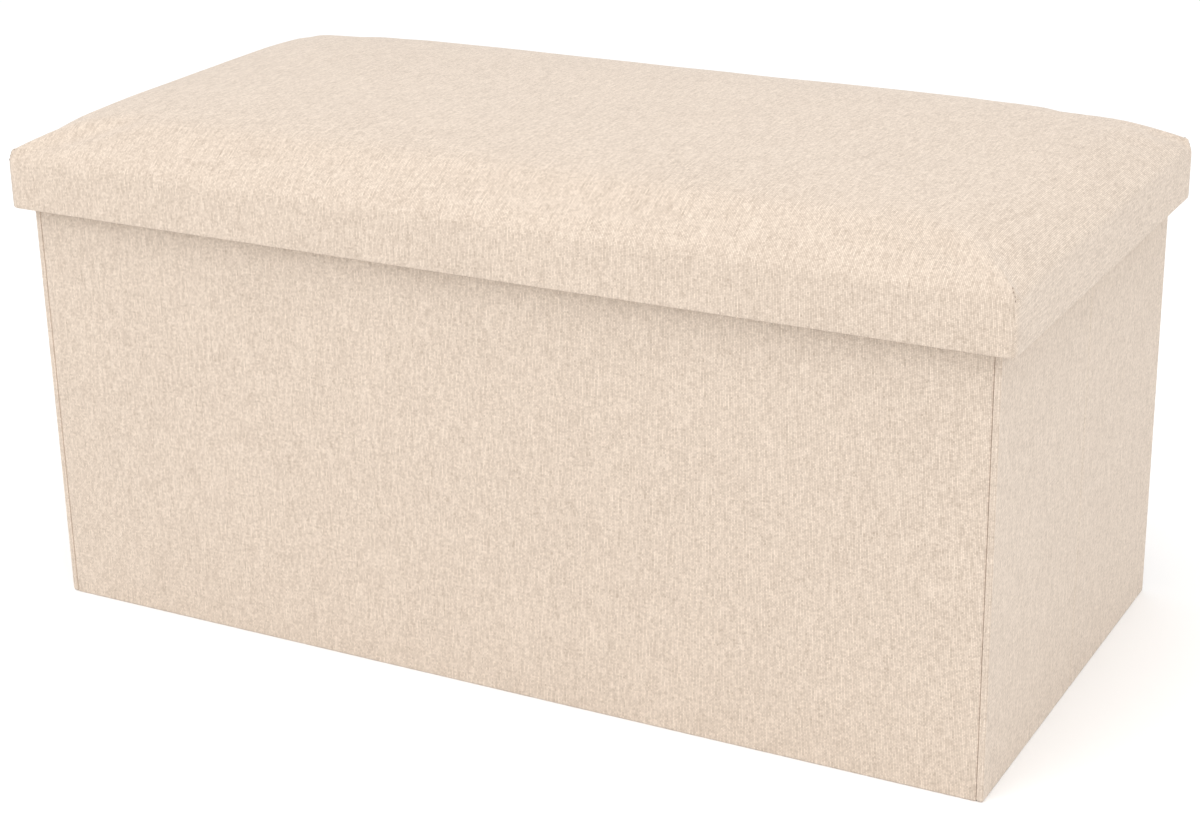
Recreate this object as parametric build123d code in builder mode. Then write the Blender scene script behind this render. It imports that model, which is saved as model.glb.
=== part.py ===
"""Folding storage bench: six fabric-covered wall panels on cloth hinges, a drop-in floor
panel and a loose padded lid with a skirt.

+X is along the bench, -Y is its front and +Z is up. The origin is on the ground, under the
middle of the bench. All sizes are in millimetres.
"""
import os

from build123d import *

# Overall size
LENGTH = 760.0  # lid, along X
DEPTH = 380.0  # lid, along Y
HEIGHT = 380.0
OVERHANG = 12.0  # lid past the walls, on every side
HEM_Z = 308.0  # lower edge of the lid's skirt

# Wall panels: a board between an outer cover and a lining
COVER = 0.9
BOARD = 3.5
LINING = 0.6
WALL = COVER + BOARD + LINING
WALL_TOP = 339.7
EDGE_WRAP = 1.0  # cover over a board's edges
RETURN = 12.0  # cover turned in over the inside face, at the sides and foot
RIM_RETURN = 25.0  # the same at the rim
CORNER_GROOVE = 1.0  # between a long wall and the end panel beside it
FOLD_GAP = 2.0  # between the two halves of an end wall

# Cloth hinges
TAPE = 0.4
TAPE_LEG = 11.0

# Floor panel
FLOOR_END_GAP = 8.0
FLOOR_SIDE_GAP = 3.0
FLOOR_BOARD = 3.0
FLOOR_CLOTH = 0.7
FLOOR_UNDERCLOTH = 0.5
TAB_LENGTH = 60.0
TAB_WIDTH = 18.0
TAB_THICKNESS = 0.8

# Lid
LID_CLOTH = 1.0
RAIL = 4.0
LID_BOARD = 3.5
LID_FACE_Z = 340.0  # underside of the lid's lining, just clear of the wall tops
CORNER_RADIUS = 6.0  # lid corners, seen from above
CROWN_RADIUS = 24.0  # rounded top edge of the cushion
STAPLE_CROWN = 10.0
STAPLE_WIRE = 0.6
STAPLE_LEG = 3.0
STAPLE_INSET = 18.0  # from a wall's inner face
STAPLES_ALONG = 12
STAPLES_ACROSS = 5

# Worked out
HALF_X = LENGTH / 2 - OVERHANG
HALF_Y = DEPTH / 2 - OVERHANG
INNER_X = HALF_X - WALL
INNER_Y = HALF_Y - WALL
LONG_WALL = 2 * (INNER_X - CORNER_GROOVE)
END_HALF = HALF_Y - FOLD_GAP / 2
FLOOR_X = 2 * (INNER_X - FLOOR_END_GAP)
FLOOR_Y = 2 * (INNER_Y - FLOOR_SIDE_GAP)
FLOOR_TOP = FLOOR_UNDERCLOTH + FLOOR_BOARD + FLOOR_CLOTH
RAIL_FOOT = HEM_Z + LID_CLOTH
LID_BOARD_Z = LID_FACE_Z + LID_CLOTH
FOAM_Z = LID_BOARD_Z + LID_BOARD

parts = []


def keep(part, name):
    part.label = name
    parts.append(part)


# Each wall has a plane: its X runs along the wall, its Y points out of the bench and its
# origin is on the ground, at the middle of the wall's outer face.
wall_planes = {
    "front": Plane(origin=(0, -HALF_Y, 0), x_dir=(-1, 0, 0), z_dir=(0, 0, 1)),
    "back": Plane(origin=(0, HALF_Y, 0), x_dir=(1, 0, 0), z_dir=(0, 0, 1)),
}
end_middle = FOLD_GAP / 2 + END_HALF / 2
for end, side in (("right", 1), ("left", -1)):
    for half, way in (("front", -1), ("back", 1)):
        wall_planes[f"{end}_{half}"] = Plane(
            origin=(side * HALF_X, way * end_middle, 0),
            x_dir=(0, -side, 0),
            z_dir=(0, 0, 1),
        )


def slab(plane, length, near, far, foot, top, mode=Mode.ADD):
    """Add a block to the part being built: near and far are depths behind the outer face."""
    with BuildSketch(plane.offset(foot)) as section:
        with Locations((0, -(near + far) / 2)):
            Rectangle(length, far - near)
    extrude(section.sketch, amount=top - foot, mode=mode)


def wall_panel(name, plane, length):
    board_length = length - 2 * EDGE_WRAP
    lining_length = length - 2 * RETURN
    board_back = COVER + BOARD

    with BuildPart() as board:
        slab(plane, board_length, COVER, board_back, EDGE_WRAP, WALL_TOP - EDGE_WRAP)
    keep(board.part, f"{name}_board")

    with BuildPart() as cover:
        slab(plane, length, 0, WALL, 0, WALL_TOP)
        slab(plane, board_length, COVER, board_back, EDGE_WRAP, WALL_TOP - EDGE_WRAP, Mode.SUBTRACT)
        slab(plane, lining_length, board_back, WALL, RETURN, WALL_TOP - RIM_RETURN, Mode.SUBTRACT)
    keep(cover.part, f"{name}_cover")

    with BuildPart() as lining:
        slab(plane, lining_length, board_back, WALL, RETURN, WALL_TOP - RIM_RETURN)
    keep(lining.part, f"{name}_lining")


for name, plane in wall_planes.items():
    wall_panel(name, plane, LONG_WALL if name in ("front", "back") else END_HALF)


# Corner hinges: a cloth tape folded into each inside corner
for end, side in (("right", 1), ("left", -1)):
    for half, way in (("front", -1), ("back", 1)):
        with BuildPart() as tape:
            with BuildSketch(Plane.XY.offset(RETURN)):
                with BuildLine():
                    Polyline(
                        (side * INNER_X, way * INNER_Y),
                        (side * (INNER_X - TAPE_LEG), way * INNER_Y),
                        (side * (INNER_X - TAPE_LEG), way * (INNER_Y - TAPE)),
                        (side * (INNER_X - TAPE), way * (INNER_Y - TAPE)),
                        (side * (INNER_X - TAPE), way * (INNER_Y - TAPE_LEG)),
                        (side * INNER_X, way * (INNER_Y - TAPE_LEG)),
                        close=True,
                    )
                make_face()
            extrude(amount=WALL_TOP - RETURN)
        keep(tape.part, f"{end}_{half}_hinge_tape")

# Fold hinges: the outer cloth carried on across the gap between the halves of an end wall
for end, side in (("right", 1), ("left", -1)):
    with BuildPart() as strip:
        with BuildSketch(Plane.XY):
            with Locations((side * (HALF_X - COVER / 2), 0)):
                Rectangle(COVER, FOLD_GAP)
        extrude(amount=WALL_TOP)
    keep(strip.part, f"{end}_fold_strip")


# Floor panel: a board between two cloths, with a pull tab sewn to its front edge
with BuildPart() as floor_undercloth:
    with BuildSketch(Plane.XY):
        Rectangle(FLOOR_X, FLOOR_Y)
    extrude(amount=FLOOR_UNDERCLOTH)
keep(floor_undercloth.part, "floor_undercloth")

with BuildPart() as floor_board:
    with BuildSketch(Plane.XY.offset(FLOOR_UNDERCLOTH)):
        Rectangle(FLOOR_X - 2 * FLOOR_CLOTH, FLOOR_Y - 2 * FLOOR_CLOTH)
    extrude(amount=FLOOR_BOARD)
keep(floor_board.part, "floor_board")

with BuildPart() as floor_cloth:
    with BuildSketch(Plane.XY.offset(FLOOR_UNDERCLOTH)):
        Rectangle(FLOOR_X, FLOOR_Y)
    extrude(amount=FLOOR_BOARD + FLOOR_CLOTH)
    with BuildSketch(Plane.XY.offset(FLOOR_UNDERCLOTH)):
        Rectangle(FLOOR_X - 2 * FLOOR_CLOTH, FLOOR_Y - 2 * FLOOR_CLOTH)
    extrude(amount=FLOOR_BOARD, mode=Mode.SUBTRACT)
keep(floor_cloth.part, "floor_cloth")

with BuildPart() as pull_tab:
    with BuildSketch(Plane.XY.offset(FLOOR_TOP)):
        with Locations((0, -FLOOR_Y / 2 + TAB_LENGTH / 2)):
            RectangleRounded(TAB_WIDTH, TAB_LENGTH, TAB_WIDTH / 4)
    extrude(amount=TAB_THICKNESS)
keep(pull_tab.part, "floor_pull_tab")


# Lid: four rails under a board, foam on top, a cover over all of it and a lining inside
def lid_outline(inset):
    """The lid's outline from above, drawn in from its outer face."""
    RectangleRounded(LENGTH - 2 * inset, DEPTH - 2 * inset, CORNER_RADIUS - inset)


def cushion_form(foot, inset):
    """Add a block with the lid's outline, flat below and rounded round its top edge."""
    with BuildSketch(Plane.XY.offset(foot)) as outline:
        lid_outline(inset)
    block = extrude(outline.sketch, amount=HEIGHT - inset - foot)
    fillet(block.faces().sort_by(Axis.Z)[-1].edges(), CROWN_RADIUS - inset)


with BuildPart() as lid_board:
    with BuildSketch(Plane.XY.offset(LID_BOARD_Z)):
        lid_outline(LID_CLOTH)
    extrude(amount=LID_BOARD)
keep(lid_board.part, "lid_board")

with BuildPart() as lid_foam:
    cushion_form(FOAM_Z, LID_CLOTH)
keep(lid_foam.part, "lid_foam")

with BuildPart() as cover_inside:
    cushion_form(RAIL_FOOT, LID_CLOTH)

HEM_INSET = LID_CLOTH + RAIL + LID_CLOTH
with BuildPart() as lid_cover:
    cushion_form(HEM_Z, 0)
    add(cover_inside.part, mode=Mode.SUBTRACT)
    with BuildSketch(Plane.XY.offset(HEM_Z)):
        Rectangle(LENGTH - 2 * HEM_INSET, DEPTH - 2 * HEM_INSET)
    extrude(amount=LID_CLOTH, mode=Mode.SUBTRACT)
keep(lid_cover.part, "lid_cover")

rail_height = LID_BOARD_Z - RAIL_FOOT
RAIL_INSET = LID_CLOTH + RAIL
for name, way in (("front", -1), ("back", 1)):
    with BuildPart() as rail:
        with BuildSketch(Plane.XY.offset(RAIL_FOOT)):
            lid_outline(LID_CLOTH)
            with Locations((0, -way * RAIL)):
                Rectangle(LENGTH, DEPTH - 2 * LID_CLOTH, mode=Mode.SUBTRACT)
        extrude(amount=rail_height)
    keep(rail.part, f"lid_{name}_rail")

for name, side in (("right", 1), ("left", -1)):
    with BuildPart() as rail:
        with BuildSketch(Plane.XY.offset(RAIL_FOOT)):
            lid_outline(LID_CLOTH)
            with Locations((side * (LENGTH / 2 - LID_CLOTH - RAIL / 2), 0)):
                Rectangle(RAIL, DEPTH - 2 * RAIL_INSET, mode=Mode.INTERSECT)
        extrude(amount=rail_height)
    keep(rail.part, f"lid_{name}_rail")

with BuildPart() as lid_lining:
    with BuildSketch(Plane.XY.offset(RAIL_FOOT)):
        Rectangle(LENGTH - 2 * RAIL_INSET, DEPTH - 2 * RAIL_INSET)
    extrude(amount=rail_height)
    with BuildSketch(Plane.XY.offset(RAIL_FOOT)):
        Rectangle(LENGTH - 2 * HEM_INSET, DEPTH - 2 * HEM_INSET)
    extrude(amount=LID_FACE_Z - RAIL_FOOT, mode=Mode.SUBTRACT)
keep(lid_lining.part, "lid_lining")


# Staples: their crowns are pressed flush into the lid's lining, their legs go up into the board
with BuildPart() as staple:
    with BuildSketch(Plane.XZ):
        with BuildLine():
            Polyline(
                (-STAPLE_CROWN / 2, STAPLE_LEG),
                (-STAPLE_CROWN / 2, -STAPLE_WIRE),
                (STAPLE_CROWN / 2, -STAPLE_WIRE),
                (STAPLE_CROWN / 2, STAPLE_LEG),
                (STAPLE_CROWN / 2 - STAPLE_WIRE, STAPLE_LEG),
                (STAPLE_CROWN / 2 - STAPLE_WIRE, 0),
                (-STAPLE_CROWN / 2 + STAPLE_WIRE, 0),
                (-STAPLE_CROWN / 2 + STAPLE_WIRE, STAPLE_LEG),
                close=True,
            )
        make_face()
    extrude(amount=STAPLE_WIRE / 2, both=True)

staple_x = INNER_X - STAPLE_INSET
staple_y = INNER_Y - STAPLE_INSET
along_pitch = 2 * staple_x / (STAPLES_ALONG + 1)
across_pitch = 2 * staple_y / (STAPLES_ACROSS + 1)
with BuildPart() as lid_staples:
    with Locations(Plane.XY.offset(LID_FACE_Z + STAPLE_WIRE)):
        with GridLocations(along_pitch, 2 * staple_y, STAPLES_ALONG, 2):
            add(staple.part)
        with GridLocations(2 * staple_x, across_pitch, 2, STAPLES_ACROSS):
            add(staple.part, rotation=(0, 0, 90))
keep(lid_staples.part, "lid_staples")


os.makedirs("parts", exist_ok=True)
for part in parts:
    export_step(part, f"parts/{part.label}.step")
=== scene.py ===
"""Folding storage bench: its cloth, seams and finishes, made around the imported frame.

Lengths are in metres. +X is along the bench, -Y is its front, +Z is up.
"""
import math

import bmesh
import bpy
import numpy as np
from mathutils import Matrix, Vector, noise


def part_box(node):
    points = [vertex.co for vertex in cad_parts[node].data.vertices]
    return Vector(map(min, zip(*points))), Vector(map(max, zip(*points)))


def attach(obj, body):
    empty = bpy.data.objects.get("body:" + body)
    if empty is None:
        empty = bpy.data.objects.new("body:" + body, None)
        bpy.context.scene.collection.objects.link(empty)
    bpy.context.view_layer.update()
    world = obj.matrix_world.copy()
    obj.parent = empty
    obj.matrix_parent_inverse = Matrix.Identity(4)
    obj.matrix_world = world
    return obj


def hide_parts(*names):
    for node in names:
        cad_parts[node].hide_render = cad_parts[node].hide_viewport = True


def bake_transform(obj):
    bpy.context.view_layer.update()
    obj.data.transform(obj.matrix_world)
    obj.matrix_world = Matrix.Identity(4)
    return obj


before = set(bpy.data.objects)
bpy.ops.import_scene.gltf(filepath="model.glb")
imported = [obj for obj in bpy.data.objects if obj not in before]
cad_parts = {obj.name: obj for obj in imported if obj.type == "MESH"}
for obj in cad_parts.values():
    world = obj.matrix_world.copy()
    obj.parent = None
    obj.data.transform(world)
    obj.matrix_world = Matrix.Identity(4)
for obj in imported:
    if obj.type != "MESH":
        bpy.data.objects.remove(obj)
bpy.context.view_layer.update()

MM = 0.001

# Sizes read from the frame
lid_low, lid_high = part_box("lid_cover")
LID_X = lid_high.x
LID_Y = lid_high.y
HEM_Z = lid_low.z
TOP_Z = lid_high.z
tray_low, tray_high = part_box("lid_lining")
end_low, end_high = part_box("right_front_cover")
wall_low, wall_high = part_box("front_cover")
lining_low, lining_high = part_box("front_lining")
end_lining_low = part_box("right_front_lining")[0]
tape_low, tape_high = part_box("right_front_hinge_tape")
floor_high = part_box("floor_cloth")[1]
tab_low, tab_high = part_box("floor_pull_tab")
WALL_TOP = wall_high.z
WALL_THICK = wall_high.y - wall_low.y
HALF_X = end_high.x
HALF_Y = -wall_low.y
INNER_X = end_low.x
INNER_Y = -wall_high.y


# ---------------------------------------------------------------- node trees
class Value:
    """A socket's value: the operators add the Math nodes that work it out."""

    def __init__(self, owner, socket):
        self.owner = owner
        self.socket = socket

    def math(self, operation, *others):
        return self.owner.node("ShaderNodeMath", {"operation": operation}, self, *others)

    def __add__(self, other):
        return self.math("ADD", other)

    __radd__ = __add__

    def __mul__(self, other):
        return self.math("MULTIPLY", other)

    __rmul__ = __mul__

    def __sub__(self, other):
        return self.math("SUBTRACT", other)

    def __rsub__(self, other):
        return self.owner.node("ShaderNodeMath", {"operation": "SUBTRACT"}, other, self)

    def output(self, place):
        """Another output of the node that this value comes from."""
        return Value(self.owner, self.socket.node.outputs[place])


class Nodes:
    """A node tree; node() adds any node, with its settings first and then its inputs."""

    def __init__(self, tree):
        self.tree = tree

    def node(self, kind, settings, *inputs, out=0, **named):
        made = self.tree.nodes.new(kind)
        for key, value in settings.items():
            setattr(made, key, value)
        pairs = [(made.inputs[i], value) for i, value in enumerate(inputs)]
        pairs += [(made.inputs[key.replace("_", " ")], value) for key, value in named.items()]
        for socket, value in pairs:
            self.set(socket, value)
        return Value(self, made.outputs[out])

    def set(self, socket, value):
        if isinstance(value, Value):
            self.tree.links.new(value.socket, socket)
        elif value is not None:
            socket.default_value = value


class Finish(Nodes):
    """A material with one Principled shader. Constants go on the shader's own sockets."""

    def __init__(self, name, **constants):
        self.material = bpy.data.materials.new(name)
        self.material.use_nodes = True
        super().__init__(self.material.node_tree)
        self.shader = self.tree.nodes["Principled BSDF"]
        for socket, value in constants.items():
            self.shader.inputs[socket.replace("_", " ")].default_value = value

    def feed(self, socket, value):
        self.tree.links.new(value.socket, self.shader.inputs[socket])

    def spread(self, vector):
        """The X, Y and Z of a vector."""
        first = self.node("ShaderNodeSeparateXYZ", {}, vector)
        return first, first.output(1), first.output(2)

    def on_cloth(self):
        """Place on the cut cloth, across and along its warp, in metres."""
        across, along, _ = self.spread(self.node("ShaderNodeUVMap", {"uv_map": "UVMap"}))
        return across, along

    def on_object(self):
        return self.node("ShaderNodeTexCoord", {}, out=3)

    def chance(self, *places):
        """A random number from 0 to 1 for each whole-number place."""
        if len(places) == 1:
            return self.node("ShaderNodeTexWhiteNoise", {"noise_dimensions": "1D"}, W=places[0])
        place = self.node("ShaderNodeCombineXYZ", {}, *places)
        return self.node("ShaderNodeTexWhiteNoise", {"noise_dimensions": "2D"}, Vector=place)

    def noise(self, x, y, detail=2.0, rough=0.5):
        place = self.node("ShaderNodeCombineXYZ", {}, x, y)
        return self.node(
            "ShaderNodeTexNoise",
            {"noise_dimensions": "2D"},
            Vector=place,
            Scale=1.0,
            Detail=detail,
            Roughness=rough,
        )

    def cloud(self, scale, detail=3.0):
        """Noise through the piece, on its own coordinates."""
        return self.node("ShaderNodeTexNoise", {}, Vector=self.on_object(), Scale=scale, Detail=detail)

    def mix(self, share, low, high, blend="MIX"):
        made = self.node("ShaderNodeMix", {"data_type": "RGBA", "blend_type": blend}, share)
        mixer = made.socket.node
        self.set(mixer.inputs[6], low)
        self.set(mixer.inputs[7], high)
        return made.output(2)

    def bump(self, height, distance):
        return self.node("ShaderNodeBump", {}, Strength=1.0, Distance=distance, Height=height)


def rgb(red, green, blue):
    return (red, green, blue, 1.0)


# ---------------------------------------------------------------- finishes
YARN = 1.1 * MM
WARP_SLUB = 15 * MM
WEFT_SLUB = 7 * MM
YARN_DARK = rgb(0.420, 0.338, 0.270)
YARN_LIGHT = rgb(0.786, 0.680, 0.577)
DOT_PITCH = 1.7 * MM


def linen(name):
    """A plain weave of slubbed yarn, with painted shade in the gaps between the yarns; its warp runs up the
    walls and over the lid from front to back.
    """
    cloth = Finish(name, Roughness=0.9, Sheen_Weight=0.2, Sheen_Roughness=0.5, Specular_IOR_Level=0.25)
    across, along = cloth.on_cloth()
    warp_place = across * (1 / YARN)
    weft_place = along * (1 / YARN)
    warp = warp_place.math("FLOOR")
    weft = weft_place.math("FLOOR")
    warp_tone = cloth.noise(cloth.chance(warp) * 900.0, along * (1 / WARP_SLUB), 3.0, 0.72)
    weft_tone = cloth.noise(across * (1 / WEFT_SLUB), cloth.chance(weft + 0.37) * 900.0, 2.0, 0.65)
    over = (warp + weft).math("FLOORED_MODULO", 2.0)
    dash = (weft_place * 0.7 + cloth.chance(warp) * 50).math("FLOOR")
    nub = cloth.chance(warp, dash) - 0.5
    weft_share = over * 0.2 + 0.26
    tone = (warp_tone - 0.5) * (1 - weft_share) + (weft_tone - 0.5) * weft_share
    round_warp = ((warp_place - warp) * math.pi).math("SINE")
    round_weft = ((weft_place - weft) * math.pi).math("SINE")
    yarn = round_warp * (1 - over) + round_weft * over
    shade = tone * 1.4 + nub * 0.36 + (0.5 - over) * 0.08 + 0.67
    drift = cloth.noise(across * 11.0, along * 11.0, 2.0) - 0.5
    colour = cloth.mix(shade + drift * 0.08, YARN_DARK, YARN_LIGHT)
    # Painted shade: the colour is multiplied darker in the gaps between the yarns, where shade falls.
    between = (1 - round_warp) * 0.6 + (1 - round_weft) * 0.22
    yarn_gap_shade = cloth.mix(between, rgb(1, 1, 1), rgb(0.62, 0.55, 0.49))
    cloth.feed("Base Color", cloth.mix(1.0, colour, yarn_gap_shade, "MULTIPLY"))
    cloth.feed("Roughness", yarn * -0.12 + 0.95)
    cloth.feed("Normal", cloth.bump(yarn * 0.6 + tone * 1.2, 0.1 * MM))
    return cloth.material


def nonwoven(name, colour):
    """Spun lining: pressed with staggered dots, with fine fibres between them."""
    cloth = Finish(name, Roughness=0.85, Sheen_Weight=0.1, Specular_IOR_Level=0.3)
    across, along = cloth.on_cloth()
    row = (along * (1 / DOT_PITCH)).math("FLOOR")
    shifted = across * (1 / DOT_PITCH) + row.math("FLOORED_MODULO", 2.0) * 0.5
    from_x = shifted.math("FRACT") - 0.5
    from_y = (along * (1 / DOT_PITCH)).math("FRACT") - 0.5
    apart = (from_x * from_x + from_y * from_y).math("SQRT")
    dot = cloth.node("ShaderNodeMapRange", {"interpolation_type": "SMOOTHSTEP"}, apart, 0.18, 0.34, 1.0, 0.0)
    fibre = cloth.noise(across * 2600.0, along * 700.0, 3.0, 0.7)
    drift = cloth.noise(across * 25.0, along * 25.0, 3.0)
    dark = tuple(0.74 * part for part in colour[:3]) + (1.0,)
    base = cloth.mix(fibre * 0.7 + drift * 0.3, dark, colour)
    cloth.feed("Base Color", cloth.mix(dot * 0.35, base, dark))
    cloth.feed("Roughness", dot * -0.25 + 0.88)
    cloth.feed("Normal", cloth.bump(fibre * 0.35 - dot, 0.12 * MM))
    return cloth.material


def ribbed_tape(name, light, dark, pitch):
    """Woven tape with close ribs across it and a selvedge grain; painted shade darkens the hollows between
    ribs and between threads, and wear adds random tone.
    """
    tape = Finish(name, Roughness=0.8, Sheen_Weight=0.15, Specular_IOR_Level=0.3)
    across, along = tape.on_cloth()
    rib = (along * (math.tau / pitch)).math("SINE") * 0.5 + 0.5
    thread = (across * (math.tau / (0.7 * pitch))).math("SINE") * 0.5 + 0.5
    wear = tape.noise(across * 300.0, along * 300.0, 3.0)
    # Painted shade: darker in the hollows of the ribs and threads; the wear noise is random tone.
    tape.feed("Base Color", tape.mix(rib * 0.5 + thread * 0.2 + wear * 0.3, dark, light))
    tape.feed("Roughness", wear * 0.2 + 0.7)
    tape.feed("Normal", tape.bump(rib + thread * 0.3, 0.15 * MM))
    return tape.material


def pressed_board(name):
    """Brown fibreboard: short flecks in a dense brown, slightly rough."""
    board = Finish(name, Roughness=0.75, Specular_IOR_Level=0.35)
    place = board.node("ShaderNodeMapping", {}, board.on_object(), None, None, (1.0, 1.0, 2.2))
    fleck = board.node("ShaderNodeTexNoise", {}, Vector=place, Scale=420.0, Detail=6.0, Roughness=0.7)
    tint = board.cloud(9.0, 2.0)
    dark, light = rgb(0.12, 0.065, 0.032), rgb(0.36, 0.235, 0.135)
    board.feed("Base Color", board.mix(fleck * 0.75 + tint * 0.25, dark, light))
    board.feed("Roughness", fleck * 0.25 + 0.62)
    board.feed("Normal", board.bump(fleck, 0.12 * MM))
    return board.material


def open_foam(name):
    """Cream foam with its cells showing."""
    foam = Finish(name, Roughness=0.95, Specular_IOR_Level=0.2)
    cells = foam.node("ShaderNodeTexVoronoi", {"feature": "F1"}, Vector=foam.on_object(), Scale=900.0)
    tint = foam.cloud(30.0)
    foam.feed("Base Color", foam.mix(cells + tint * 0.3, rgb(0.78, 0.70, 0.48), rgb(0.52, 0.43, 0.26)))
    foam.feed("Normal", foam.bump(cells, 0.3 * MM))
    return foam.material


def drawn_wire(name):
    """Bright zinc wire with fine draw marks and dull patches."""
    wire = Finish(name, Metallic=1.0, Roughness=0.35)
    marks = wire.cloud(1500.0)
    dull = wire.cloud(160.0)
    wire.feed("Base Color", wire.mix(dull, rgb(0.46, 0.46, 0.47), rgb(0.72, 0.72, 0.73)))
    wire.feed("Roughness", marks * 0.25 + 0.22)
    wire.feed("Normal", wire.bump(marks, 0.02 * MM))
    return wire.material


def spun_thread(name, light, dark):
    """Sewing thread: a twisted two-ply sheen."""
    thread = Finish(name, Roughness=0.6, Sheen_Weight=0.2)
    twist = thread.cloud(2400.0, 2.0)
    thread.feed("Base Color", thread.mix(twist, dark, light))
    thread.feed("Normal", thread.bump(twist, 0.05 * MM))
    return thread.material


wall_linen = linen("wall_linen")
lid_linen = linen("lid_linen")
lining_cloth = nonwoven("lining_cloth", rgb(0.60, 0.535, 0.45))
hinge_tape = ribbed_tape("hinge_tape", rgb(0.66, 0.56, 0.46), rgb(0.45, 0.37, 0.29), 1.2 * MM)
webbing = ribbed_tape("webbing", rgb(0.50, 0.42, 0.33), rgb(0.30, 0.24, 0.18), 1.6 * MM)
fibreboard = pressed_board("fibreboard")
foam = open_foam("foam")
staple_wire = drawn_wire("staple_wire")
seam_thread = spun_thread("seam_thread", rgb(0.70, 0.60, 0.50), rgb(0.42, 0.34, 0.27))
corner_thread = spun_thread("corner_thread", rgb(0.36, 0.28, 0.22), rgb(0.20, 0.15, 0.11))

HARD_FINISHES = {"board": fibreboard, "rail": fibreboard, "foam": foam, "staples": staple_wire}
for name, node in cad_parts.items():
    finish = HARD_FINISHES.get(name.split("_")[-1], lining_cloth)
    if name.endswith("_cover") or name.endswith("fold_strip"):
        finish = wall_linen
    node.data.materials.clear()
    node.data.materials.append(finish)


# ---------------------------------------------------------------- mesh helpers
FOLD_STEPS = (0.5 * MM, 1.1 * MM, 2.0 * MM, 3.2 * MM, 5.0 * MM, 7.5 * MM)
FOLD_WIDTH = 1.3 * MM


def make_piece(name, corners, faces, face_uv, material):
    mesh = bpy.data.meshes.new(name)
    mesh.from_pydata([tuple(c) for c in corners], [], faces)
    layer = mesh.uv_layers.new(name="UVMap")
    flat = [uv for face in face_uv for uv in face]
    layer.data.foreach_set("uv", np.array(flat, np.float32).ravel())
    mesh.polygons.foreach_set("use_smooth", [True] * len(faces))
    mesh.materials.append(material)
    piece = bpy.data.objects.new(name, mesh)
    bpy.context.scene.collection.objects.link(piece)
    return piece


def applied(piece, modifier):
    """The piece with the modifier's result as its own mesh."""
    evaluated = piece.evaluated_get(bpy.context.evaluated_depsgraph_get())
    made = bpy.data.meshes.new_from_object(evaluated)
    piece.modifiers.remove(modifier)
    rough = piece.data
    piece.data = made
    bpy.data.meshes.remove(rough)
    made.name = piece.name
    return piece


def edge_steps(radius):
    """Distances in from an edge that follow a quarter round of that radius."""
    turns = (0, 22.5, 45, 67.5, 90)
    return [radius * (1 - math.cos(math.radians(a))) for a in turns]


def spaced(low, high, near_low, near_high, step, folds=()):
    """Grid lines from low to high: close ones near both ends and by the folds."""
    inner_low = low + near_low[-1]
    inner_high = high - near_high[-1]
    count = max(2, round((inner_high - inner_low) / step))
    lines = [low + d for d in near_low] + [high - d for d in near_high]
    lines += [inner_low + (inner_high - inner_low) * i / count for i in range(1, count)]
    for place in folds:
        lines = [x for x in lines if abs(x - place) > FOLD_STEPS[-1] * 1.3]
        lines += [place] + [place - g for g in FOLD_STEPS] + [place + g for g in FOLD_STEPS]
    return sorted(set(round(x, 7) for x in lines))


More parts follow.
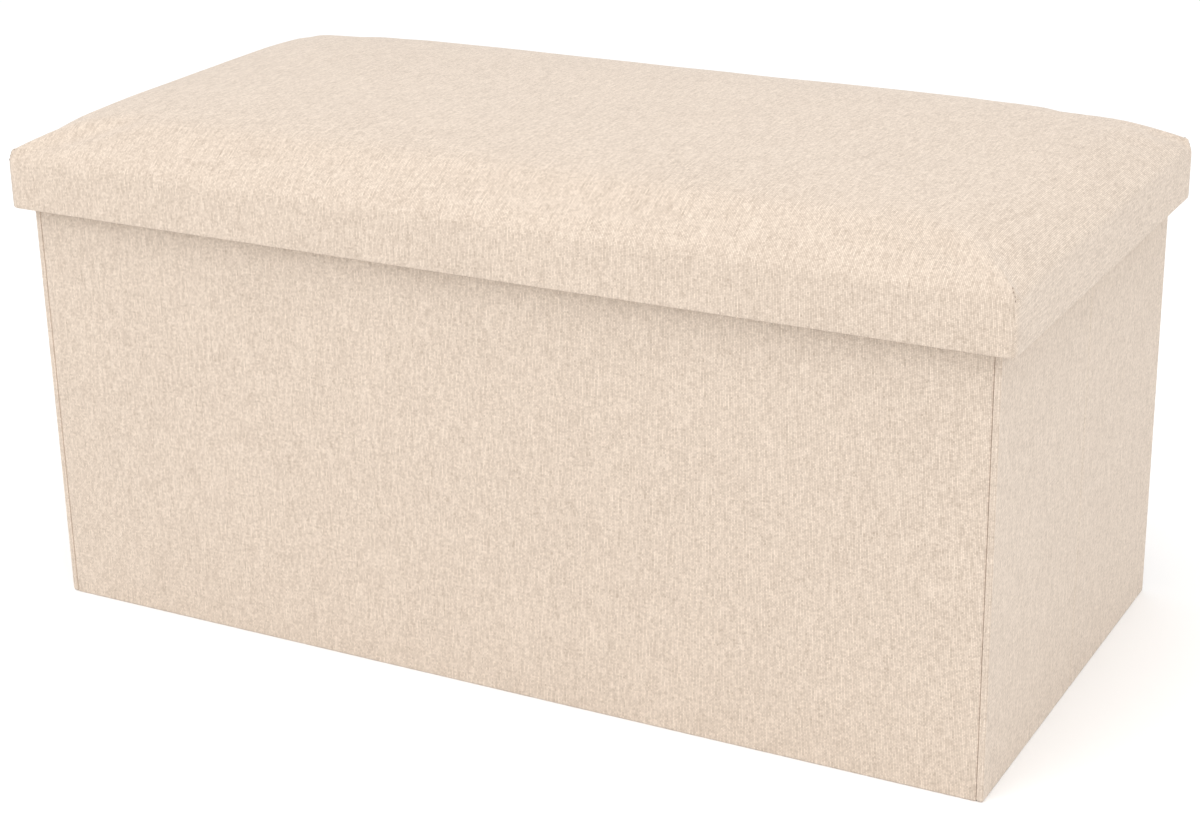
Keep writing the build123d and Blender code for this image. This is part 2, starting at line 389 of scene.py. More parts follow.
def panel(width, height, thick, edge, foot, rim, step, folds=(), dent=0.0, puff=0.0, seed=0.0):
    """A flat panel with rounded edges, as (corners, faces, uv). X runs along it, Z up, Y out of its face.

    edge is the rounding of its edges, foot and rim the radii of its lower and upper corners. The face
    swells by up to puff, and is pressed in by dent along each fold. Its back stays flat.
    """
    half = width / 2
    cut = max(foot, edge) + 0.3 * MM
    sides = edge_steps(edge) + [min(2 * edge, 0.8 * cut), cut]
    rows_low = edge_steps(edge) + [min(2 * edge, 0.8 * cut), cut]
    rows_high = edge_steps(edge) + [max(rim, 1.5 * edge)]
    xs = spaced(-half, half, sides, sides, step, folds)
    zs = spaced(0.0, height, rows_low, rows_high, step)
    columns, rows = len(xs), len(zs)

    def on_outline(x, z):
        """The grid point moved so that the grid's border follows the rounded corners, and its inset."""
        radius = foot if z < height / 2 else rim
        over_x = abs(x) - (half - radius)
        over_z = radius - z if z < height / 2 else z - (height - radius)
        if over_x <= 0 or over_z <= 0:
            return x, z, min(half - abs(x), z, height - z)
        a, b = over_x / radius, over_z / radius
        moved_x = radius * a * math.sqrt(1 - b * b / 2)
        moved_z = radius * b * math.sqrt(1 - a * a / 2)
        new_x = math.copysign(half - radius + moved_x, x)
        new_z = radius - moved_z if z < height / 2 else height - radius + moved_z
        return new_x, new_z, radius - math.hypot(moved_x, moved_z)

    corners, plan = [], []
    for side in (0, 1):
        for z in zs:
            for x in xs:
                px, pz, inset = on_outline(x, z)
                near = max(0.0, edge - max(inset, 0.0))
                fall = edge - math.sqrt(max(edge * edge - near * near, 0.0))
                if side == 0:
                    calm = min(1.0, max(inset, 0.0) / (12 * MM))
                    fall += sum(dent * math.exp(-(((px - f) / FOLD_WIDTH) ** 2)) for f in folds)
                    fall -= puff * calm * noise.noise(Vector((px * 14 + seed, 0.0, pz * 14)))
                corners.append((px, -fall if side == 0 else -thick + fall, pz))
                plan.append((px, pz))
    faces, uv = [], []
    for side in (0, 1):
        base = side * columns * rows
        for r in range(rows - 1):
            for c in range(columns - 1):
                i = base + r * columns + c
                loop = [i, i + columns, i + columns + 1, i + 1]
                if side:
                    loop.reverse()
                faces.append(loop)
                uv.append([plan[k] for k in loop])
    border = [(c, 0) for c in range(columns - 1)]
    border += [(columns - 1, r) for r in range(rows - 1)]
    border += [(c, rows - 1) for c in range(columns - 1, 0, -1)]
    border += [(0, r) for r in range(rows - 1, 0, -1)]
    ring = [r * columns + c for c, r in border]
    far = columns * rows
    for k, i in enumerate(ring):
        j = ring[(k + 1) % len(ring)]
        faces.append([i, j, j + far, i + far])
        step_out = Vector((plan[j][1] - plan[i][1], plan[i][0] - plan[j][0]))
        step_out = step_out.normalized() * thick
        wrapped = [(plan[n][0] + step_out.x, plan[n][1] + step_out.y) for n in (j, i)]
        uv.append([plan[i], plan[j]] + wrapped)
    return corners, faces, uv


def placed(part, origin, along, up=(0, 0, 1), shift=0.0):
    """A panel stood at origin: its X goes along, its Z up, and its cloth is cut further on by shift."""
    corners, faces, uv = part
    along, up, origin = Vector(along), Vector(up), Vector(origin)
    out = up.cross(along)
    moved = [origin + along * x + out * y + up * z for x, y, z in corners]
    return moved, faces, [[(u + shift, v) for u, v in face] for face in uv]


# ---------------------------------------------------------------- walls
EDGE = 1.2 * MM
FOOT_RADIUS = 2.2 * MM
FRONT_FOOT = 1.2 * MM
RIM_RADIUS = 3 * MM
FOLD_DENT = 0.45 * MM
WALL_GRID = 12 * MM
PUFF = 0.3 * MM
LINING_STEP = 0.4 * MM
CORNER_GAP = 0.02 * MM
SLAB = WALL_THICK - LINING_STEP


def long_side(name, side):
    wide = 2 * (HALF_X - SLAB - CORNER_GAP)
    part = panel(
        wide, WALL_TOP, SLAB, EDGE, FRONT_FOOT, RIM_RADIUS, WALL_GRID, puff=PUFF, seed=side * 3.0
    )
    part = placed(part, (0, side * HALF_Y, 0), (side, 0, 0), shift=side * 1.5)
    piece = make_piece(f"{name}_wall_cloth", *part, wall_linen)
    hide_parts(f"{name}_cover")
    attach(piece, f"{name}_wall")


def over_middle(piece, end, side):
    """Bakes the piece's placement into its mesh."""
    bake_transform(piece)


def end_side(end, side):
    part = panel(
        2 * HALF_Y,
        WALL_TOP,
        SLAB,
        EDGE,
        FOOT_RADIUS,
        RIM_RADIUS,
        WALL_GRID,
        folds=(0.0,),
        dent=FOLD_DENT,
        puff=PUFF,
        seed=side * 7.0,
    )
    part = placed(part, (side * HALF_X, 0, 0), (0, -side, 0), shift=side * 2.7)
    piece = make_piece(f"{end}_end_cloth", *part, wall_linen)
    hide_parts(f"{end}_front_cover", f"{end}_back_cover", f"{end}_fold_strip")
    over_middle(piece, end, side)


long_side("front", -1)
long_side("back", 1)
end_side("right", 1)
end_side("left", -1)

# ---------------------------------------------------------------- stitches and staples
def row_tree(name, shape, pivot):
    """Geometry nodes that set one shape after another along a path; shape adds the repeated one.

    pivot is the axis they are turned about to follow it.
    """
    tree = bpy.data.node_groups.new(name, "GeometryNodeTree")
    face = tree.interface
    face.new_socket("Path", in_out="INPUT", socket_type="NodeSocketGeometry")
    face.new_socket("Pitch", in_out="INPUT", socket_type="NodeSocketFloat")
    face.new_socket("Length", in_out="INPUT", socket_type="NodeSocketFloat")
    face.new_socket("Thickness", in_out="INPUT", socket_type="NodeSocketFloat")
    face.new_socket("Unevenness", in_out="INPUT", socket_type="NodeSocketFloat")
    face.new_socket("Finish", in_out="INPUT", socket_type="NodeSocketMaterial")
    face.new_socket("Row", in_out="OUTPUT", socket_type="NodeSocketGeometry")
    work = Nodes(tree)
    path = work.node("NodeGroupInput", {})
    pitch, length, thick, uneven, finish = (path.output(i) for i in range(1, 6))
    curve = work.node("GeometryNodeMeshToCurve", {}, Mesh=path)
    points = work.node("GeometryNodeCurveToPoints", {"mode": "LENGTH"}, Curve=curve, Length=pitch)
    turn = work.node(
        "FunctionNodeAlignEulerToVector", {"axis": "X", "pivot_axis": pivot}, Vector=points.output(1)
    )
    vary = work.node("FunctionNodeRandomValue", {"data_type": "FLOAT"}, out=1)
    lowest, highest, seed = (vary.socket.node.inputs[i] for i in (2, 3, 8))
    work.set(lowest, 1 - uneven)
    work.set(highest, 1.0)
    work.set(seed, 7)
    size = work.node("ShaderNodeCombineXYZ", {}, length * vary, thick, thick)
    one = shape(work)
    rows = work.node(
        "GeometryNodeInstanceOnPoints", {}, Points=points, Instance=one, Rotation=turn, Scale=size
    )
    solid = work.node("GeometryNodeRealizeInstances", {}, rows)
    soft = work.node("GeometryNodeSetShadeSmooth", {}, Geometry=solid)
    done = work.node("GeometryNodeSetMaterial", {}, Geometry=soft, Material=finish)
    out = tree.nodes.new("NodeGroupOutput")
    tree.links.new(done.socket, out.inputs[0])
    return tree


def stitch_shape(work):
    """A plump stitch one unit long, wide and high."""
    return work.node("GeometryNodeMeshUVSphere", {}, Segments=6, Rings=5, Radius=0.5)


def staple_shape(work):
    """A staple's crown, one unit long, with the bends where its legs go in."""
    crown = work.node("GeometryNodeMeshCube", {}, (1.0, 1.0, 1.0))
    wires = [crown]
    for side in (-0.5, 0.5):
        leg = work.node("GeometryNodeMeshCube", {}, (0.07, 0.9, 1.6))
        wires.append(work.node("GeometryNodeTransform", {}, Geometry=leg, Translation=(0.965 * side, 0, 0.5)))
    joint = work.node("GeometryNodeJoinGeometry", {}, wires[0])
    for part in wires[1:]:
        work.tree.links.new(part.socket, joint.socket.node.inputs[0])
    return joint


stitch_row = row_tree("stitch_row", stitch_shape, "AUTO")
staple_row = row_tree("staple_row", staple_shape, "Z")
TURN = 1 * MM


def with_turns(path):
    """The path with a point just before and just after each turn, so that a row turns only there."""
    path = [Vector(point) for point in path]
    made = [path[0]]
    for start, end in zip(path, path[1:]):
        step = (end - start).normalized() * min(TURN, 0.3 * (end - start).length)
        made += [start + step, end - step, end]
    return made


def along_paths(name, tree, paths, finish, **sizes):
    """One mesh of a row tree's result along the paths, each a list of points."""
    mesh = bpy.data.meshes.new(name)
    points, links = [], []
    for path in paths:
        start = len(points)
        points.extend(with_turns(path))
        links.extend((i, i + 1) for i in range(start, len(points) - 1))
    mesh.from_pydata(points, links, [])
    piece = bpy.data.objects.new(name, mesh)
    bpy.context.scene.collection.objects.link(piece)
    rows = piece.modifiers.new("rows", "NODES")
    rows.node_group = tree
    for item in tree.interface.items_tree:
        if item.in_out != "INPUT":
            continue
        if item.name == "Finish":
            rows[item.identifier] = finish
        elif item.name in sizes:
            rows[item.identifier] = sizes[item.name]
    return applied(piece, rows)


def stitches(name, paths, body, thread=seam_thread, pitch=4.2 * MM, length=3.1 * MM, thick=0.4 * MM):
    piece = along_paths(
        name, stitch_row, paths, thread, Pitch=pitch, Length=length, Thickness=thick, Unevenness=0.12
    )
    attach(piece, body)


# ---------------------------------------------------------------- linings
LINING_THICK = 1.0 * MM
LINING_EDGE = 0.35 * MM
LINING_CORNER = 2 * MM
LINING_GRID = 14 * MM
LINING_PUFF = 0.12 * MM
LINING_DENT = 0.2 * MM
SEAM_INSET = 4 * MM
SEAM_SUNK = 0.08 * MM
MIDDLE_GAP = 12 * MM
TAPE_THICK = 0.7 * MM
TAPE_EDGE = 0.15 * MM
TAPE_CORNER = 0.3 * MM
TAPE_SUNK = 0.2 * MM
TAPE_SHORT = 6 * MM
lining_wide = lining_high.x - lining_low.x
lining_tall = lining_high.z - lining_low.z
END_LINING = end_lining_low.y


def frame_path(low, high, place):
    """A closed rectangle of points; place turns its two coordinates into a point."""
    loop = [(low[0], low[1]), (high[0], low[1]), (high[0], high[1]), (low[0], high[1]), (low[0], low[1])]
    return [place(a, b) for a, b in loop]


def long_lining(name, side):
    part = panel(
        lining_wide,
        lining_tall,
        LINING_THICK,
        LINING_EDGE,
        LINING_CORNER,
        LINING_CORNER,
        LINING_GRID,
        puff=LINING_PUFF,
        seed=side * 5.0,
    )
    part = placed(part, (0, side * INNER_Y, lining_low.z), (-side, 0, 0), shift=side * 4.0)
    piece = make_piece(f"{name}_lining_cloth", *part, lining_cloth)
    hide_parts(f"{name}_lining")
    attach(piece, f"{name}_wall")
    reach = lining_wide / 2 - SEAM_INSET
    path = frame_path(
        (-reach, lining_low.z + SEAM_INSET),
        (reach, lining_high.z - SEAM_INSET),
        lambda a, b: (a, side * (INNER_Y + SEAM_SUNK), b),
    )
    stitches(f"{name}_lining_stitches", [path], f"{name}_wall")


def end_lining(end, side):
    part = panel(
        -2 * END_LINING,
        lining_tall,
        LINING_THICK,
        LINING_EDGE,
        LINING_CORNER,
        LINING_CORNER,
        LINING_GRID,
        folds=(0.0,),
        dent=LINING_DENT,
        puff=LINING_PUFF,
        seed=side * 6.0,
    )
    part = placed(part, (side * INNER_X, 0, lining_low.z), (0, side, 0), shift=side * 5.0)
    piece = make_piece(f"{end}_lining_cloth", *part, lining_cloth)
    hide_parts(f"{end}_front_lining", f"{end}_back_lining")
    over_middle(piece, end, side)
    reach = -END_LINING - SEAM_INSET
    for half, way in (("front", -1), ("back", 1)):
        path = frame_path(
            (way * MIDDLE_GAP, lining_low.z + SEAM_INSET),
            (way * reach, lining_high.z - SEAM_INSET),
            lambda a, b: (side * (INNER_X + SEAM_SUNK), a, b),
        )
        stitches(f"{end}_{half}_lining_stitches", [path], f"{end}_{half}_wall")


def corner_tape(end, half, side, way):
    """The two legs of the tape inside a corner, each on its own wall."""
    leg = tape_high.x - tape_low.x
    tall = tape_high.z - tape_low.z - TAPE_SHORT
    name = f"{end}_{half}"
    size = (leg, tall, TAPE_THICK, TAPE_EDGE, TAPE_CORNER, TAPE_CORNER, 20 * MM)
    on_end = placed(
        panel(*size),
        (side * (INNER_X + TAPE_SUNK), way * (INNER_Y - leg / 2), tape_low.z),
        (0, side, 0),
        shift=1.0,
    )
    on_long = placed(
        panel(*size),
        (side * (INNER_X - leg / 2), way * (INNER_Y + TAPE_SUNK), tape_low.z),
        (-way, 0, 0),
        shift=2.0,
    )
    for where, part, body in (("end", on_end, f"{name}_wall"), ("long", on_long, f"{half}_wall")):
        piece = make_piece(f"{name}_tape_{where}", *part, hinge_tape)
        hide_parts(f"{name}_hinge_tape")
        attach(piece, body)


for name, side in (("front", -1), ("back", 1)):
    long_lining(name, side)
for end, side in (("right", 1), ("left", -1)):
    end_lining(end, side)
    for half, way in (("front", -1), ("back", 1)):
        corner_tape(end, half, side, way)

# ---------------------------------------------------------------- floor panel
FLOOR_CORNER = 5 * MM
FLOOR_EDGE = 1.2 * MM
FLOOR_SEAM = 6 * MM
TAB_CURL = 2.2 * MM
TAB_SEWN = 22 * MM


def floor_panel():
    part = panel(
        2 * floor_high.x,
        2 * floor_high.y,
        floor_high.z,
        FLOOR_EDGE,
        FLOOR_CORNER,
        FLOOR_CORNER,
        12 * MM,
        puff=0.15 * MM,
        seed=11.0,
    )
    part = placed(part, (0, -floor_high.y, floor_high.z), (-1, 0, 0), up=(0, 1, 0))
    piece = make_piece("floor_panel_cloth", *part, lining_cloth)
    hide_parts("floor_cloth", "floor_undercloth")
    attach(piece, "floor_panel")
    reach = (floor_high.x - FLOOR_SEAM, floor_high.y - FLOOR_SEAM)
    path = frame_path((-reach[0], -reach[1]), reach, lambda a, b: (a, b, floor_high.z + 0.02 * MM))
    stitches("floor_panel_stitches", [path], "floor_panel")


def pull_tab():
    """A flat ribbon sewn to the floor panel's front edge; its free end lifts a little."""
    long = tab_high.y - tab_low.y
    thick = tab_high.z - tab_low.z
    part = panel(2 * tab_high.x, long, thick, 0.3 * MM, 1 * MM, 3 * MM, 3 * MM)
    corners, faces, uv = placed(part, (0, tab_low.y, tab_high.z), (-1, 0, 0), up=(0, 1, 0), shift=3.0)
    sewn = tab_low.y + TAB_SEWN
    for point in corners:
        free = max(0.0, (point.y - sewn) / (tab_high.y - sewn))
        point.z += TAB_CURL * free * free * (3 - 2 * free)
    piece = make_piece("floor_pull_tab_webbing", corners, faces, uv, webbing)
    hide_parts("floor_pull_tab")
    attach(piece, "floor_panel")
    low = (-tab_high.x + 2.5 * MM, tab_low.y + 3 * MM)
    high = (tab_high.x - 2.5 * MM, tab_low.y + 18 * MM)
    top = tab_high.z + 0.05 * MM
    box = frame_path(low, high, lambda a, b: (a, b, top))
    cross = [(low[0], low[1], top), (high[0], high[1], top)]
    other = [(low[0], high[1], top), (high[0], low[1], top)]
    stitches("floor_pull_tab_stitches", [box, cross, other], "floor_panel", pitch=2.8 * MM, length=2.2 * MM)


floor_panel()
pull_tab()

# ---------------------------------------------------------------- lid
SKIRT = 43 * MM
SHOULDER_Z = HEM_Z + SKIRT
CROWN = TOP_Z - SHOULDER_Z - 3.5 * MM
CROWN_X = 5.5
CROWN_Y = 3.4
CROWN_EDGE = 0.5
LID_CORNER = 6 * MM
HEM_ROUND = 1.2 * MM
HEM_INSET = 4.6 * MM
CAP_Z = tray_high.z + 1 * MM
LID_NEAR = [d * MM for d in (0, 2.4, 6, 10, 15, 21, 28, 36)]
LID_GRID = 8.5 * MM
PILLOW_PRESSURE = 4.0
PILLOW_GIVE = 5 * MM
SWELL_STEPS = 20
HELD_BELOW = 343 * MM
FREE_ABOVE = 351 * MM


def crown_share(part, power):
    return max(0.0, 1 - abs(part) ** power) ** CROWN_EDGE


def arc_lengths(lines, half, power):
    """How far the cloth runs from the middle to each grid line, over the crown."""
    lengths = [0.0]
    for a, b in zip(lines, lines[1:]):
        rise = CROWN * (crown_share(b / half, power) - crown_share(a / half, power))
        lengths.append(lengths[-1] + math.hypot(b - a, rise))
    middle = np.interp(0.0, lines, lengths)
    return [length - middle for length in lengths]


def rounded_box(xs, ys, radius, rise, grid_uv, levels):
    """A grid over a rounded rectangle, with its border carried down through levels of (inset, z)."""
    half_x, half_y = xs[-1], ys[-1]
    full_x, full_y = half_x - radius, half_y - radius
    columns, rows = len(xs), len(ys)
    corners, uv = [], []
    for j, y in enumerate(ys):
        for i, x in enumerate(xs):
            over_x = (abs(x) - full_x) / radius
            over_y = (abs(y) - full_y) / radius
            px, py = x, y
            if over_x > 0 and over_y > 0:
                px = math.copysign(full_x + radius * over_x * math.sqrt(1 - over_y * over_y / 2), x)
                py = math.copysign(full_y + radius * over_y * math.sqrt(1 - over_x * over_x / 2), y)
            corners.append((px, py, rise(x, y)))
            uv.append(grid_uv(i, j))
    faces = []
    for j in range(rows - 1):
        for i in range(columns - 1):
            k = j * columns + i
            faces.append([k, k + 1, k + columns + 1, k + columns])
    face_uv = [[uv[k] for k in face] for face in faces]
    ring = [(i, 0) for i in range(columns - 1)]
    ring += [(columns - 1, j) for j in range(rows - 1)]
    ring += [(i, rows - 1) for i in range(columns - 1, 0, -1)]
    ring += [(0, j) for j in range(rows - 1, 0, -1)]
    grid_ring = [j * columns + i for i, j in ring]

    def outline(inset):
        """The border drawn in by that much, at the same points."""
        small = max(radius - inset, 0.3 * MM)
        line_x, line_y = half_x - inset - small, half_y - inset - small
        made = []
        for k in grid_ring:
            x, y = corners[k][0], corners[k][1]
            way = Vector((max(abs(x) - full_x, 0.0), max(abs(y) - full_y, 0.0))).normalized()
            base_x = min(abs(x), line_x) if abs(x) <= full_x else line_x
            base_y = min(abs(y), line_y) if abs(y) <= full_y else line_y
            px = math.copysign(base_x + way.x * small, x)
            py = math.copysign(base_y + way.y * small, y)
            made.append((px, py))
        return made

    lower = grid_ring
    run = 0.0
    last = (0.0, corners[grid_ring[0]][2])
    for level in levels:
        run_next = run + math.hypot(level[0] - last[0], level[1] - last[1])
        start = len(corners)
        corners.extend((x, y, level[1]) for x, y in outline(level[0]))
        upper = lower
        lower = list(range(start, start + len(grid_ring)))
        for k in range(len(grid_ring)):
            n = (k + 1) % len(grid_ring)
            faces.append([upper[n], upper[k], lower[k], lower[n]])
            base = [uv[grid_ring[m]] for m in (n, k, k, n)]
            fall = [run, run, run_next, run_next]
            first, second = corners[grid_ring[k]], corners[grid_ring[n]]
            if abs(first[0] - second[0]) < abs(first[1] - second[1]):
                way = math.copysign(1.0, first[0])
                face_uv.append([(b[0] + way * f, b[1]) for b, f in zip(base, fall)])
            else:
                way = math.copysign(1.0, first[1])
                face_uv.append([(b[0], b[1] + way * f) for b, f in zip(base, fall)])
        run, last = run_next, level
    return corners, faces, face_uv


def lid_form():
    xs = spaced(-LID_X, LID_X, LID_NEAR, LID_NEAR, LID_GRID)
    ys = spaced(-LID_Y, LID_Y, LID_NEAR, LID_NEAR, LID_GRID)
    arc_x = arc_lengths(xs, LID_X, CROWN_X)
    arc_y = arc_lengths(ys, LID_Y, CROWN_Y)

    def rise(x, y):
        return SHOULDER_Z + CROWN * crown_share(x / LID_X, CROWN_X) * crown_share(y / LID_Y, CROWN_Y)

    def grid_uv(i, j):
        share_x = crown_share(xs[i] / LID_X, CROWN_X)
        share_y = crown_share(ys[j] / LID_Y, CROWN_Y)
        return xs[i] + (arc_x[i] - xs[i]) * share_y, ys[j] + (arc_y[j] - ys[j]) * share_x

    levels = [(0.0, SHOULDER_Z - d * MM) for d in (3, 7, 12, 18, 25, 32, 38)]
    levels += [(0.0, HEM_Z + HEM_ROUND), (0.35 * HEM_ROUND, HEM_Z + 0.2 * HEM_ROUND), (HEM_ROUND, HEM_Z)]
    levels += [(HEM_INSET - 0.8 * MM, HEM_Z), (HEM_INSET, HEM_Z + 1 * MM), (HEM_INSET, CAP_Z - 3 * MM)]
    levels += [(HEM_INSET, CAP_Z), (HEM_INSET + 4 * MM, CAP_Z)]
    return rounded_box(xs, ys, LID_CORNER, rise, grid_uv, levels)


def places_of(mesh):
    flat = np.empty(len(mesh.vertices) * 3)
    mesh.vertices.foreach_get("co", flat)
    return flat.reshape(-1, 3)


def swell(piece):
    """Blows the cushion up by cloth simulation. No point moves further than it may give."""
    scene = bpy.context.scene
    start = places_of(piece.data)
    held = piece.vertex_groups.new(name="held")
    for index, z in enumerate(start[:, 2]):
        part = min(1.0, max(0.0, (FREE_ABOVE - z) / (FREE_ABOVE - HELD_BELOW)))
        if part > 0:
            held.add([index], part, "REPLACE")
    cloth = piece.modifiers.new("swell", "CLOTH")
    cloth.settings.quality = 3
    cloth.settings.mass = 0.3
    cloth.settings.tension_stiffness = 18
    cloth.settings.compression_stiffness = 18
    cloth.settings.shear_stiffness = 8
    cloth.settings.bending_stiffness = 0.8
    cloth.settings.vertex_group_mass = "held"
    cloth.settings.use_pressure = True
    cloth.settings.uniform_pressure_force = PILLOW_PRESSURE
    cloth.settings.effector_weights.gravity = 0.0
    cloth.point_cache.frame_start = 1
    cloth.point_cache.frame_end = SWELL_STEPS
    for step in range(1, SWELL_STEPS + 1):
        scene.frame_set(step)
    evaluated = piece.evaluated_get(bpy.context.evaluated_depsgraph_get())
    move = places_of(evaluated.data) - start
    far = np.linalg.norm(move, axis=1, keepdims=True)
    move *= np.minimum(1.0, PILLOW_GIVE / np.maximum(far, 1e-9))
    piece.modifiers.remove(cloth)
    piece.vertex_groups.clear()
    scene.frame_set(1)
    piece.data.vertices.foreach_set("co", (start + move).ravel())
    piece.data.update()


def made_smooth(piece):
    """Subdivides the piece once, and closes it where it is open."""
    finer = piece.modifiers.new("finer", "SUBSURF")
    finer.levels = 1
    finer.render_levels = 1
    applied(piece, finer)
    work = bmesh.new()
    work.from_mesh(piece.data)
    open_edges = [edge for edge in work.edges if edge.is_boundary]
    bmesh.ops.holes_fill(work, edges=open_edges, sides=0)
    work.to_mesh(piece.data)
    work.free()


SEAM_IN = 2.4 * MM
SEAM_DEPTH = 0.7 * MM
SEAM_WIDTH = 0.9 * MM
SLACK = 0.5 * MM
PUCKER = 0.22 * MM
PUCKER_REACH = 45 * MM


def dress_lid(piece):
    """Presses the corner seams in, draws small puckers to the corners, and lets the top sit unevenly."""
    mesh = piece.data
    for vertex in mesh.vertices:
        x, y, z = vertex.co
        on_skirt = abs(y) > LID_Y - 1.5 * MM and z < SHOULDER_Z + 2 * MM
        if on_skirt:
            off = (abs(x) - (LID_X - SEAM_IN)) / SEAM_WIDTH
            vertex.co.y -= math.copysign(SEAM_DEPTH * math.exp(-off * off), y)
        if z > SHOULDER_Z:
            top = min(1.0, (z - SHOULDER_Z) / (8 * MM))
            broad = noise.noise(Vector((x * 7, y * 9, 1.7)))
            fine = noise.noise(Vector((x * 19, y * 23, 5.1)))
            vertex.co.z += SLACK * top * (broad + 0.5 * fine)
        from_x, from_y = LID_X - abs(x), LID_Y - abs(y)
        away = math.hypot(from_x, from_y)
        if z > SHOULDER_Z - 6 * MM and away < PUCKER_REACH:
            turn = math.atan2(from_y, from_x)
            fade = (1 - away / PUCKER_REACH) ** 2
            vertex.co.z += PUCKER * fade * math.sin(turn * 11 + math.copysign(0.7, x) + math.copysign(1.9, y))


def lid_cushion():
    piece = make_piece("lid_cushion", *lid_form(), lid_linen)
    swell(piece)
    made_smooth(piece)
    dress_lid(piece)
    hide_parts("lid_cover", "lid_foam")
    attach(piece, "lid")
    return piece


def corner_stitches(lid):
    """A few dark hand stitches where each corner seam ends at the top of the skirt."""
    paths = []
    for side in (-1, 1):
        for way in (-1, 1):
            line = []
            for low in range(-9, 3, 3):
                band = [
                    v.co for v in lid.data.vertices if low * MM <= v.co.z - SHOULDER_Z < (low + 3) * MM
                ]
                line.append(max(band, key=lambda co: side * co.x + way * co.y))
            paths.append(line)
    stitches("lid_corner_stitches", paths, "lid", corner_thread, 2.2 * MM, 1.7 * MM, 0.7 * MM)


TRAY_CLOTH = 0.6 * MM
TRAY_FACE = tray_high.z - TRAY_CLOTH
TRAY_SAG = 0.25 * MM
STAPLE_X = 345 * MM
STAPLE_Y = 155 * MM
STAPLE_END = 15 * MM


def lid_tray():
    """The lining under the lid: a shallow tray pressed against the board and the rails."""
    near = [d * MM for d in (0, 1, 3, 7, 13)]
    half_x, half_y = tray_high.x - TRAY_CLOTH, tray_high.y - TRAY_CLOTH
    xs = spaced(-half_x, half_x, near, near, 13 * MM)
    ys = spaced(-half_y, half_y, near, near, 13 * MM)

    def rise(x, y):
        inset = min(half_x - abs(x), half_y - abs(y))
        calm = min(1.0, inset / (25 * MM))
        return TRAY_FACE - TRAY_SAG * calm * noise.noise(Vector((x * 16, y * 16, 3.3)))

    levels = [(0.0, TRAY_FACE - d * MM) for d in (2, 10, 20)]
    levels += [(0.0, tray_low.z + 1 * MM), (0.0, tray_low.z)]
    part = rounded_box(xs, ys, 1.2 * MM, rise, lambda i, j: (xs[i] + 6.0, ys[j]), levels)
    faces = [list(reversed(face)) for face in part[1]]
    uv = [list(reversed(loop)) for loop in part[2]]
    piece = make_piece("lid_lining_cloth", part[0], faces, uv, lining_cloth)
    shell = piece.modifiers.new("shell", "SOLIDIFY")
    shell.thickness = TRAY_CLOTH - 0.1 * MM
    shell.offset = -1.0
    applied(piece, shell)
    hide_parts("lid_lining")
    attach(piece, "lid")


def lid_staples():
    """A row of staples along each side of the lid's underside."""
    z = TRAY_FACE - 0.1 * MM
    rows = []
    for side in (-1, 1):
        y = side * STAPLE_Y
        rows.append([(-STAPLE_X + STAPLE_END, y, z), (STAPLE_X - STAPLE_END, y, z)])
    for side in (-1, 1):
        x = side * STAPLE_X
        rows.append([(x, -STAPLE_Y + STAPLE_END, z), (x, STAPLE_Y - STAPLE_END, z)])
    wires = along_paths(
        "lid_staple_rows",
        staple_row,
        rows,
        staple_wire,
        Pitch=60 * MM,
        Length=10 * MM,
        Thickness=0.6 * MM,
        Unevenness=0.0,
    )
    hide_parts("lid_staples")
    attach(wires, "lid")


def tray_stitches():
    reach = (tray_high.x - 9 * MM, tray_high.y - 9 * MM)
    path = frame_path((-reach[0], -reach[1]), reach, lambda a, b: (a, b, TRAY_FACE - 0.05 * MM))
    stitches("lid_lining_stitches", [path], "lid")


corner_stitches(lid_cushion())
lid_tray()
lid_staples()
tray_stitches()


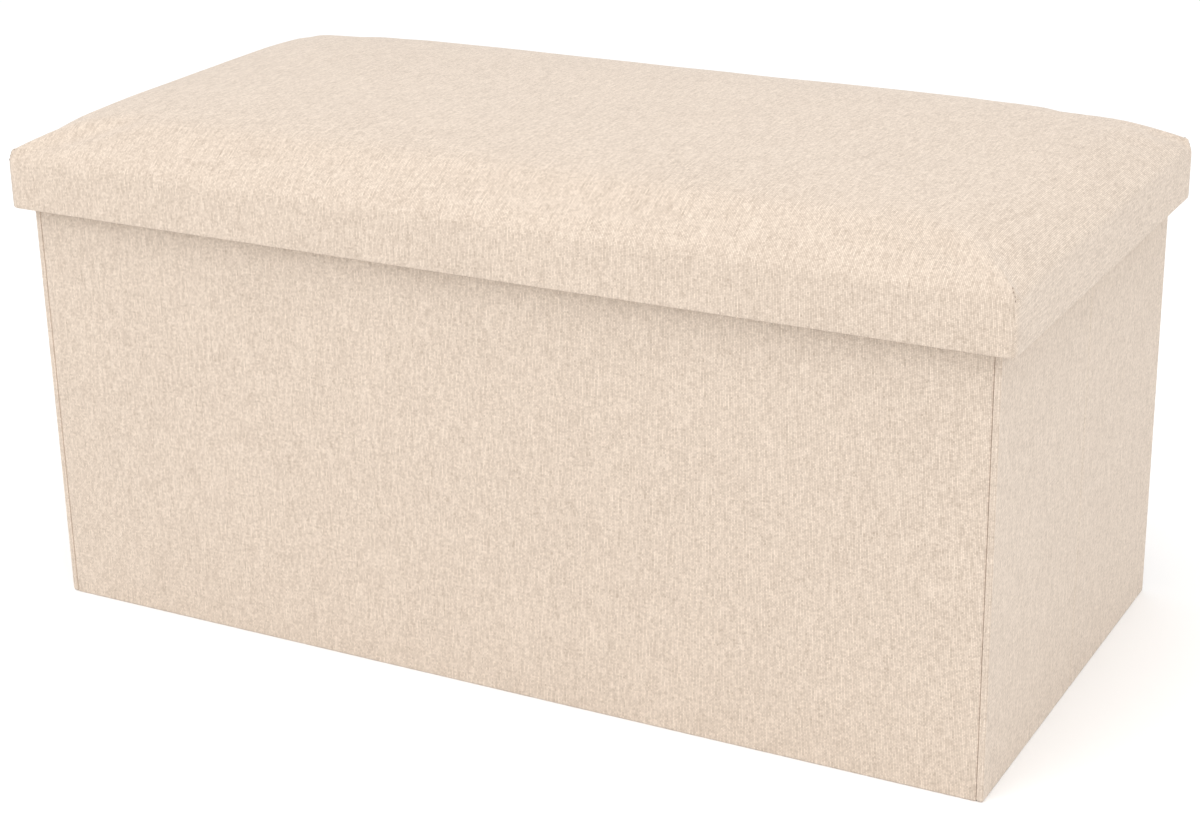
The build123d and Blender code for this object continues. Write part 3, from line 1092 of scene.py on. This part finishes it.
# ---------------------------------------------------------------- studio
def soft_light(name, place, target, size, power):
    light = bpy.data.lights.new(name, "AREA")
    light.energy = power
    light.size = size
    lamp = bpy.data.objects.new(name, light)
    lamp.location = place
    lamp.rotation_euler = (Vector(target) - Vector(place)).to_track_quat("-Z", "Y").to_euler()
    bpy.context.scene.collection.objects.link(lamp)


def studio():
    scene = bpy.context.scene
    scene.view_settings.view_transform = "Standard"
    world = bpy.data.worlds.new("studio")
    world.use_nodes = True
    world.node_tree.nodes["Background"].inputs["Color"].default_value = rgb(1, 1, 1)
    world.node_tree.nodes["Background"].inputs["Strength"].default_value = 0.98
    scene.world = world

    mesh = bpy.data.meshes.new("floor")
    reach = 12.0
    sheet = [(-reach, -reach, 0), (reach, -reach, 0), (reach, reach, 0), (-reach, reach, 0)]
    mesh.from_pydata(sheet, [], [(0, 1, 2, 3)])
    floor = bpy.data.objects.new("floor", mesh)
    scene.collection.objects.link(floor)
    paper = Finish("floor_paper", Roughness=0.9, Base_Color=rgb(0.95, 0.95, 0.95))
    mesh.materials.append(paper.material)
    soft_light("key", (-1.2, -2.4, 1.3), (0, 0, 0.2), 2.0, 14.0)
    soft_light("fill", (2.6, -0.8, 1.1), (0.2, 0, 0.2), 1.8, 12.0)
    soft_light("top", (0.1, -0.9, 2.8), (0, 0, 0.3), 2.2, 28.0)


def camera():
    lens = bpy.data.cameras.new("camera")
    lens.sensor_width = 36.0
    lens.lens = 74.97
    view = bpy.data.objects.new("camera", lens)
    turn, tilt, roll = 0.4923, 0.3717, -0.0179
    ahead = Vector((-math.sin(turn), math.cos(turn), 0))
    right = Vector((math.cos(turn), math.sin(turn), 0))
    forward = ahead * math.cos(tilt) - Vector((0, 0, math.sin(tilt)))
    up = ahead * math.sin(tilt) + Vector((0, 0, math.cos(tilt)))
    x_axis = right * math.cos(roll) + up * math.sin(roll)
    y_axis = up * math.cos(roll) - right * math.sin(roll)
    turned = Matrix((x_axis, y_axis, -forward)).transposed().to_4x4()
    view.matrix_world = Matrix.Translation((0.8184, -1.5270, 0.8157)) @ turned
    bpy.context.scene.collection.objects.link(view)
    bpy.context.scene.camera = view


studio()
camera()
